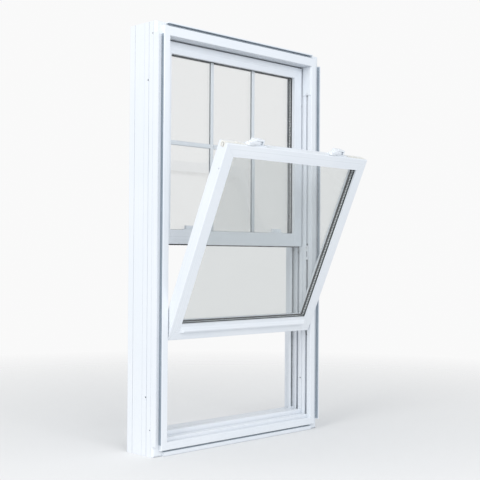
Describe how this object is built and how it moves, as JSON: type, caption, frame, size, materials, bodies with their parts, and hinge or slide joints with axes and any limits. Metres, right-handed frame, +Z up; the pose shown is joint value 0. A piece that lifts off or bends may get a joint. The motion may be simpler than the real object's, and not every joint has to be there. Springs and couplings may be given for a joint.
{
  "type": "tilt-in double-hung window",
  "caption": "White vinyl double-hung window: fixed jamb-depth frame, upper sash with grille between the panes, lower sash that slides up and tilts in on shoes.",
  "frame": {"origin": "centre of the frame's underside: middle of the width and of the depth, on the plane that rests on the rough sill", "axes": "+Z up, +X to the right seen from the room, +Y out of doors"},
  "size_m": [0.631, 0.3344, 1.112],
  "materials": {
    "frame_vinyl": "satin",
    "sash_vinyl": "satin",
    "cover_plastic": "satin",
    "spring_steel": "brushed",
    "screw_steel": "satin",
    "shoe_plastic": "matt",
    "zinc_cast": "satin",
    "latch_plastic": "satin",
    "lock_enamel": "gloss",
    "pane_glass": "polished",
    "spacer_metal": "satin",
    "seal_rubber": "matt",
    "bar_enamel": "satin"
  },
  "bodies": {
    "frame": {"bracket_screws": "screw_steel", "coil_bracket_left": "cover_plastic", "coil_bracket_right": "cover_plastic", "frame_head": "frame_vinyl", "frame_jamb_left": "frame_vinyl", "frame_jamb_right": "frame_vinyl", "frame_sill": "frame_vinyl", "frame_weep_covers": "frame_vinyl", "lower_coils": "spring_steel", "track_cover_left": "cover_plastic", "track_cover_right": "cover_plastic", "upper_coils": "spring_steel"},
    "lower_shoes": {"lower_ribbons": "spring_steel", "lower_shoe_left": "shoe_plastic", "lower_shoe_right": "shoe_plastic"},
    "upper_sash": {"keeper_left": "lock_enamel", "keeper_right": "lock_enamel", "upper_bar_level": "bar_enamel", "upper_bar_upright_left": "bar_enamel", "upper_bar_upright_right": "bar_enamel", "upper_beads_level": "sash_vinyl", "upper_beads_upright": "sash_vinyl", "upper_bottom_rail": "sash_vinyl", "upper_gaskets": "seal_rubber", "upper_glass_inner": "pane_glass", "upper_glass_outer": "pane_glass", "upper_pivot_bar_left": "zinc_cast", "upper_pivot_bar_right": "zinc_cast", "upper_ribbons": "spring_steel", "upper_screws": "screw_steel", "upper_shoe_left": "shoe_plastic", "upper_shoe_right": "shoe_plastic", "upper_spacer": "spacer_metal", "upper_stile_left": "sash_vinyl", "upper_stile_right": "sash_vinyl", "upper_top_rail": "sash_vinyl"},
    "lock_lever_left": {"lock_cam_left": "lock_enamel"},
    "tilt_latch_left": {"latch_slider_left": "latch_plastic"},
    "lock_lever_right": {"lock_cam_right": "lock_enamel"},
    "tilt_latch_right": {"latch_slider_right": "latch_plastic"},
    "lower_sash": {"bulb_seal": "seal_rubber", "latch_case_left": "latch_plastic", "latch_case_right": "latch_plastic", "lock_case_left": "lock_enamel", "lock_case_right": "lock_enamel", "lower_beads_level": "sash_vinyl", "lower_beads_upright": "sash_vinyl", "lower_bottom_rail": "sash_vinyl", "lower_gaskets": "seal_rubber", "lower_glass_inner": "pane_glass", "lower_glass_outer": "pane_glass", "lower_pivot_bar_left": "zinc_cast", "lower_pivot_bar_right": "zinc_cast", "lower_screws": "screw_steel", "lower_spacer": "spacer_metal", "lower_stile_left": "sash_vinyl", "lower_stile_right": "sash_vinyl", "lower_top_rail": "sash_vinyl", "tilt_cam_left": "zinc_cast", "tilt_cam_right": "zinc_cast"}
  },
  "joints": [
    {"name": "lower_slide", "type": "slide", "parent": "frame", "child": "lower_shoes", "axis": [0, 0, 1], "range_m": [-0.2505, 0.154], "deforming": ["lower_ribbons"]},
    {"name": "lower_tilt", "type": "hinge", "parent": "lower_shoes", "child": "lower_sash", "pos_m": [0, -0.04, 0.3075], "axis": [1, 0, 0], "range_deg": [-24, 60]},
    {"name": "upper_slide", "type": "slide", "parent": "frame", "child": "upper_sash", "axis": [0, 0, 1], "range_m": [-0.482, 0], "deforming": ["upper_ribbons"]},
    {"name": "lock_turn_left", "type": "hinge", "parent": "lower_sash", "child": "lock_lever_left", "pos_m": [-0.158, -0.25556, 0.79781], "axis": [0, -0.4067, 0.9135], "range_deg": [0, 95]},
    {"name": "latch_slide_left", "type": "slide", "parent": "lower_sash", "child": "tilt_latch_left", "axis": [-1, 0, 0], "range_m": [-0.0025, 0.0052]},
    {"name": "lock_turn_right", "type": "hinge", "parent": "lower_sash", "child": "lock_lever_right", "pos_m": [0.158, -0.25556, 0.79781], "axis": [0, -0.4067, 0.9135], "range_deg": [0, 95]},
    {"name": "latch_slide_right", "type": "slide", "parent": "lower_sash", "child": "tilt_latch_right", "axis": [1, 0, 0], "range_m": [-0.0025, 0.0052]}
  ]
}
